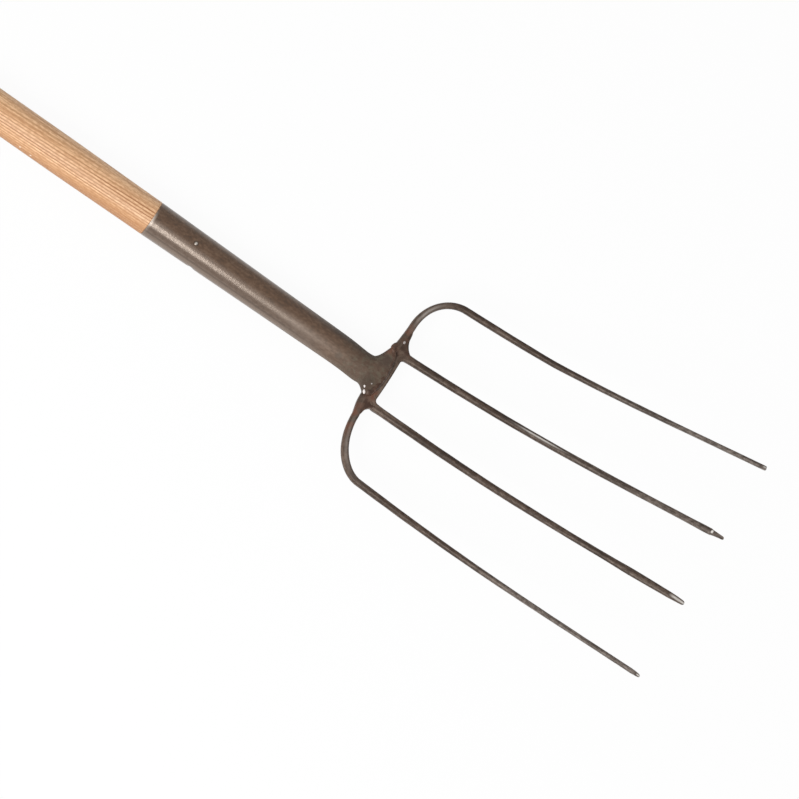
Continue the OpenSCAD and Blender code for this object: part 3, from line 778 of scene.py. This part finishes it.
def bar_stations(plan, bar_w, left, right, seed):
    """Stations of a forged bar along its plan: dished, thinned and ground at both ends. Each side gives its
    end, its swelling and its painted highlight line."""
    line = [Vector((x, y, dish_z(x))) for x, y in plan]
    runs = [0.0]
    for a, b in zip(line, line[1:]):
        runs.append(runs[-1] + (b - a).length)
    stations = []
    for i, centre in enumerate(line):
        along = (line[min(i + 1, len(line) - 1)] - line[max(i - 1, 0)]).normalized()
        across = Z_AXIS.cross(along).normalized()
        up = along.cross(across)
        on_left = 2 * runs[i] < runs[-1]
        end, swelling, highlight_line = left if on_left else right
        to_end = runs[i] if on_left else runs[-1] - runs[i]
        thin = 1 - clamp((to_end - EVEN_LEN) / (TINE_REACH - EVEN_LEN))
        ground = 1 - clamp(to_end / end.length)
        rounding = math.sqrt(1 - (1 - clamp(to_end / end.rounding + FIRST_ROUNDING)) ** 2)
        w = mix(mix(bar_w, end.before, thin), end.width, ground ** end.hold)
        w += end.swell_by * bell((to_end - end.swell_at) / max(LEAST_SWELL_LEN, end.swell_at / 2))
        w += swelling.wider * bell((to_end - swelling.from_end) / swelling.length)
        h = mix(BAR_H, TIP_H, thin)
        facet = mix(h / 2, end.height - h / 2, ground) if ground > 0 else h
        on_glint = to_end > end.length - end.lip
        facet_bare = end.bare * blend(2 - 2 * to_end / end.bare_len)
        # The facet's start carries a painted glint
        bare = (1.0, 1.0) if on_glint else (facet_bare, BARE_SHARE)
        line_highlight = highlight_line.bare * bell((to_end - highlight_line.from_end) / highlight_line.length)
        # Painted sheen with some wear builds up towards the points
        worn = end.worn * blend((centre.x - SHEEN_AND_WEAR_FROM_X) / (SHEEN_AND_WEAR_TO_X - SHEEN_AND_WEAR_FROM_X))
        away = max(centre.x, abs(centre.y) - SQUARE_HALF_W)
        squareness = mix(SQUARE_BAR, ROUND_TINE, blend(away / ROOT_LEN))
        stations.append(bar_station(centre, across, up, w * rounding, h, facet, squareness, runs[i], seed,
                                    bare, highlight_line._replace(bare=line_highlight), worn))
    return stations


def bar_station(centre, across, up, w, h, facet, squareness, run, seed, bare, highlight_line, worn):
    """One station of a bar, cut off at the height of its facet. The facet's middle shows uncoated steel
    over a share of the width, and near the facet's start it carries a painted glint; the top carries a
    narrow painted highlight line."""
    facet_bare_and_glint, bare_share = bare

    def station(turn):
        c, s = squarish(turn, squareness)
        spot = Vector((run / DENT_LEN, DENT_ROUND * c + seed, DENT_ROUND * s))
        dented = 1 + DENT_DEPTH * (noise.noise(spot) - DENT_BIAS)
        y, z = c * w / 2 * dented, s * h / 2 * dented
        cut = z > facet
        z = min(z, facet)
        p = centre + across * y + up * z
        shine = facet_bare_and_glint * clamp(BARE_EDGE - abs(c) / bare_share) if cut else 0.0
        # The painted highlight line on the top
        line = highlight_line.bare * bell((c - highlight_line.across) / highlight_line.width) if s > 0 else 0.0
        return place(*p), Vector((run, y, z)) * MM, max(shine, line), worn
    return station


def tine_bows(finish):
    outer = whole_plan(outer_half(LEFT_SIDE), outer_half(RIGHT_SIDE))
    bm = bmesh.new()
    swept(bm, bar_stations(outer, OUTER_W, (BLUNT_END, LEFT_SHOULDER, LEFT_HIGHLIGHT),
                           (CHISEL_END, RIGHT_SHOULDER, RIGHT_HIGHLIGHT), OUTER_SEED), BAR_SIDES)
    finish_piece(bm, "outer_bow", finish, "tine_steel", "outer_tine_bow")
    inner = whole_plan(inner_half(SHORT_POINT), inner_half(LONG_POINT))
    bm = bmesh.new()
    swept(bm, bar_stations(inner, INNER_W, (SHORT_POINT, CROSSBAR, INNER_HIGHLIGHT),
                           (LONG_POINT, CROSSBAR, NO_HIGHLIGHT), INNER_SEED), BAR_SIDES)
    finish_piece(bm, "inner_bow", finish, "tine_steel", "inner_tine_bow")


# The welds

# The bead: how much wider it has run, how far it lies under the lap's edge, how high it stands as a share
# of the lap, how far it sinks below it, where it ends, how it thins there, and how much broader its right
# side is
BEAD_SIDES, BEAD_SPREAD, BEAD_TUCK, BEAD_RISE, BEAD_SINK = 24, 1.3, 1.2, 1.04, 0.4
BEAD_LEFT_END, BEAD_RIGHT_END = math.radians(84), math.radians(70)
BEAD_FADE, BEAD_END_SHARE, BEAD_RIGHT_SPREAD = math.radians(10), 0.75, 1.3
BEAD_LUMPS, BEAD_LUMP_LEN, BEAD_SEED = 0.12, 4, 5

# Drops of weld metal: place, radius, how much longer than wide, how far turned, and how bright a painted
# glint they carry. The first is the lump where the bead ends
Drop = namedtuple("Drop", "x y z r stretch turn bright")
DROP_HEIGHT, SPATTER_TURN = 0.7, math.radians(35)
DROPS = (
    Drop(-11.2, 31.2, 8.4, 3.4, 1.6, math.radians(-32), 0),
    Drop(-16.3, -18.4, 14.3, 0.9, 1.5, SPATTER_TURN, 1),
    Drop(-14.1, -23, 14.9, 1.2, 1.8, SPATTER_TURN, 1),
    Drop(-12.2, -12.8, 15.2, 0.8, 1, 0, 0.4),
    Drop(-6.9, 37.9, 10.6, 1.2, 1.3, 0, 0.4),
)

# A corner's fill: how far it stands over the bars, sinks into them, and runs on along the outer bar, how
# far its back reaches towards the middle at first, how its first station is tucked away, and how far it
# laps onto the inner bar after a leading share of its run
FILL_SIDES, FILL_SQUARENESS = 28, 3
FILL_RISE, FILL_SINK, FILL_RUN_ON, FILL_TAIL = 0.05, 1.5, 8, 13
FILL_TUCK, FILL_TUCKED_RISE, FILL_LAP, FILL_LEAD = 2.5, -0.45, 1.5, 0.3
FILL_LUMPS, FILL_LUMP_LEN = 0.05, 3

# The hollow of a fill's free edge: its radius, and how far it is set into the outer and the inner bar
CornerFill = namedtuple("CornerFill", "hollow_r set_x set_y")
LEFT_FILL, RIGHT_FILL = CornerFill(20.8, -0.4, 4.1), CornerFill(11.7, 0.7, 2.2)


def bead_station(edge, out, run, width, rise):
    """A station of the bead: a round slope from the top of the lap's edge down to the crossbar."""
    def station(turn):
        c, s = math.cos(turn), math.sin(turn)
        lump = 1 + BEAD_LUMPS * noise.noise(Vector((run / BEAD_LUMP_LEN, c, s + BEAD_SEED)))
        q = edge + out * (width * c * lump - BEAD_TUCK)
        p = place(q.x, q.y, LAP_BOTTOM_Z + s * lump * (rise if s > 0 else BEAD_SINK))
        return p, p, 0.0, 0.0
    return station


def drop_of_weld(bm, drop):
    """A drop of weld metal that froze on the steel."""
    bare = layers_of(bm)[1]
    verts = bmesh.ops.create_icosphere(bm, subdivisions=3, radius=drop.r * MM)["verts"]
    bmesh.ops.scale(bm, vec=(1, drop.stretch, DROP_HEIGHT), verts=verts)
    bmesh.ops.rotate(bm, matrix=Matrix.Rotation(drop.turn, 3, "Z"), verts=verts)
    bmesh.ops.translate(bm, vec=place(drop.x, drop.y, drop.z), verts=verts)
    # How bright each drop's painted glint is
    for v in verts:
        v[bare] = drop.bright


def socket_weld(finish):
    """The bead round the lap, broader on the right, and the drops round it."""
    stations, run, last = [], 0.0, None
    for a in steps(BEAD_LEFT_END, -BEAD_RIGHT_END, 100):
        edge = Vector((LAP_X + LAP_LEN * math.cos(a), LAP_SHIFT + LAP_HALF_W * math.sin(a)))
        out = Vector((LAP_HALF_W * math.cos(a), LAP_LEN * math.sin(a))).normalized()
        run += (edge - last).length if last else 0.0
        last = edge
        from_end = min(BEAD_LEFT_END - a, BEAD_RIGHT_END + a)
        whole = mix(BEAD_END_SHARE, 1, blend(from_end / BEAD_FADE))
        width = BEAD_W * BEAD_SPREAD * mix(1, BEAD_RIGHT_SPREAD, blend(-a))
        stations.append(bead_station(edge, out, run, width * whole, LAP_H * BEAD_RISE * whole))
    bm = bmesh.new()
    swept(bm, stations, BEAD_SIDES)
    for drop in DROPS:
        drop_of_weld(bm, drop)
    finish_piece(bm, "lap_weld_bead", finish, "weld_steel", "socket_weld")


def fill_station(back, edge, hand, run, rise):
    """A station of a corner's fill, from inside the corner to its free edge."""
    def station(turn):
        c, s = squarish(turn, FILL_SQUARENESS)
        lump = 1 + FILL_LUMPS * noise.noise(Vector((run / FILL_LUMP_LEN, 2 * c, s + hand)))
        q = back.lerp(edge, (1 + c) / 2)
        p = place(q.x, hand * q.y, dish_z(q.x) + s * (BAR_H / 2 + rise) * lump)
        return p, p, 0.0, 0.0
    return station


def corner_weld(name, node, hand, side, fill, finish):
    """Weld metal that fills the corner between an outer and an inner tine. Its free edge runs along
    the outer bar, then round a hollow, and sinks into the inner bar. The hand is 1 on the left."""
    start_y = shoulder_start(side)[0]
    face_x, face_y = OUTER_SIDE_X + OUTER_W / 2, INNER_ROOT_GAP / 2 + INNER_W / 2
    r = fill.hollow_r
    hollow = Vector((face_x + r - fill.set_x, face_y + r - fill.set_y))
    run_on, last = FILL_RUN_ON / r, math.asin((hollow.y - face_y + FILL_SINK) / r)
    stations = []
    for t in steps(-run_on, last, 40):
        turn = max(t, 0)
        edge = hollow - r * Vector((math.cos(turn), math.sin(turn))) + Vector((0, r * max(-t, 0)))
        bar_x = swing_x(edge.y, start_y, side.ease) + OUTER_W / 2
        edge.x = mix(edge.x, bar_x - FILL_SINK, blend(-t / run_on))
        share = (t + run_on) / (last + run_on)
        bend_r = INNER_CORNER_R + mix(INNER_W / 2, -FILL_LAP, clamp(share / FILL_LEAD))
        bend = share * math.pi / 2
        back = Vector((CORNER_X - bend_r * math.cos(bend), CORNER_Y + bend_r * math.sin(bend)))
        back.y -= FILL_TAIL * clamp(1 - share / FILL_LEAD)
        if not stations:
            tuck, run = Vector((FILL_TUCK, 0)), t * r - FILL_TUCK
            stations.append(fill_station(back - tuck, edge - tuck, hand, run, FILL_TUCKED_RISE))
        stations.append(fill_station(back, edge, hand, t * r, FILL_RISE))
    bm = bmesh.new()
    swept(bm, stations, FILL_SIDES)
    finish_piece(bm, name, finish, "weld_steel", node)


ash_handle(ash_wood())
rolled_socket(socket_finish())
socket_nail(nail_finish())
tine_bows(tine_finish())
weld = weld_finish()
socket_weld(weld)
corner_weld("left_corner_fillet", "left_corner_weld", 1, LEFT_SIDE, LEFT_FILL, weld)
corner_weld("right_corner_fillet", "right_corner_weld", -1, RIGHT_SIDE, RIGHT_FILL, weld)


# The camera looks down on the fork, which lies aslant in a picture of so many pixels
PICTURE, SENSOR_W, FAR_CLIP = 799, 36, 100000
VIEW_ROLL, VIEW_PITCH, VIEW_TURN = math.radians(14.99), math.radians(7.5), math.radians(-34.95)
VIEW_DISTANCE, PIXELS_PER_MM = 3300, 1.0939
VIEW_RIGHT, VIEW_UP = 12.42, -15.82
to_picture = (Matrix.Rotation(VIEW_TURN, 3, "Z") @ Matrix.Rotation(VIEW_PITCH, 3, "Y")
              @ Matrix.Rotation(-VIEW_ROLL, 3, "X"))
from_picture = to_picture.transposed()


def seen_at(right, up, back):
    """A place given as seen in the picture, in millimetres from the crossbar's front."""
    return place(*(from_picture @ Vector((right, up, back))))


camera = bpy.data.objects.new("photo_camera", bpy.data.cameras.new("photo_camera"))
camera.data.sensor_width = SENSOR_W
camera.data.lens = SENSOR_W * PIXELS_PER_MM * VIEW_DISTANCE / PICTURE
camera.data.clip_end = FAR_CLIP * MM
eye = seen_at(VIEW_RIGHT, VIEW_UP, VIEW_DISTANCE)
camera.matrix_world = Matrix.Translation(eye) @ from_picture.to_4x4()
scene.collection.objects.link(camera)
scene.camera = camera


# Pale floor, and soft light from the lower left of the picture

FLOOR_HALF_W, FLOOR_GREY, FLOOR_GLOW, SKY_STRENGTH = 8000, 0.86, 0.94, 0.52
WHITE = (1, 1, 1, 1)


def backdrop_share(tree):
    """1 for what the camera, gloss or glass sees, and 0 for light that falls on things."""
    path = tree.nodes.new("ShaderNodeLightPath")
    total = path.outputs["Is Camera Ray"]
    for name in ("Is Glossy Ray", "Is Transmission Ray"):
        node = tree.nodes.new("ShaderNodeMath")
        node.operation = "MAXIMUM"
        tree.links.new(total, node.inputs[0])
        tree.links.new(path.outputs[name], node.inputs[1])
        total = node.outputs[0]
    return total


def pale_floor():
    bm = bmesh.new()
    bmesh.ops.create_grid(bm, x_segments=1, y_segments=1, size=FLOOR_HALF_W * MM)
    mesh = bpy.data.meshes.new("pale_floor")
    bm.to_mesh(mesh)
    bm.free()
    floor = bpy.data.objects.new("pale_floor", mesh)
    scene.collection.objects.link(floor)
    f = Finish("white_sheet", Base_Color=(FLOOR_GREY, FLOOR_GREY, FLOOR_GREY, 1), Roughness=0.9)
    glow = f.add("Emission", {"Color": WHITE, "Strength": 1.0})
    share = f.times(backdrop_share(f.tree), FLOOR_GLOW)
    both = f.add("MixShader", {0: share, 1: f.shader.outputs[0], 2: glow.outputs[0]})
    f.tree.links.new(both.outputs[0], f.tree.nodes["Material Output"].inputs["Surface"])
    mesh.materials.append(f.material)


def soft_light(name, lean, along, distance, width, length, watts):
    """A rectangular lamp that leans from the camera towards the picture's lower left, with its
    length along the fork and its middle at a place along it."""
    lamp = bpy.data.lights.new(name, "AREA")
    lamp.shape = "RECTANGLE"
    lamp.size, lamp.size_y = length * MM, width * MM
    lamp.energy = watts
    below = math.sin(lean) * distance
    right = along * math.cos(VIEW_TURN) + below * math.sin(VIEW_TURN)
    up = along * math.sin(VIEW_TURN) - below * math.cos(VIEW_TURN)
    centre = seen_at(right, up, math.cos(lean) * distance)
    away = (centre - place(along, 0, 0)).normalized()
    axis = (X_AXIS - away * X_AXIS.dot(away)).normalized()
    turn = Matrix((axis, away.cross(axis), away)).transposed().to_4x4()
    piece = bpy.data.objects.new(name, lamp)
    piece.matrix_world = Matrix.Translation(centre) @ turn
    scene.collection.objects.link(piece)


pale_floor()
soft_light("strip_softbox", lean=math.radians(28), along=-250, distance=2100,
           width=940, length=1000, watts=27)
soft_light("overhead_softbox", lean=math.radians(9), along=-430, distance=3600,
           width=1930, length=2200, watts=19.5)

world = bpy.data.worlds.new("studio")
scene.world = world
world.use_nodes = True
sky = world.node_tree.nodes["Background"]
sky.inputs["Color"].default_value = WHITE
sky.inputs["Strength"].default_value = SKY_STRENGTH

scene.view_settings.view_transform = "Standard"
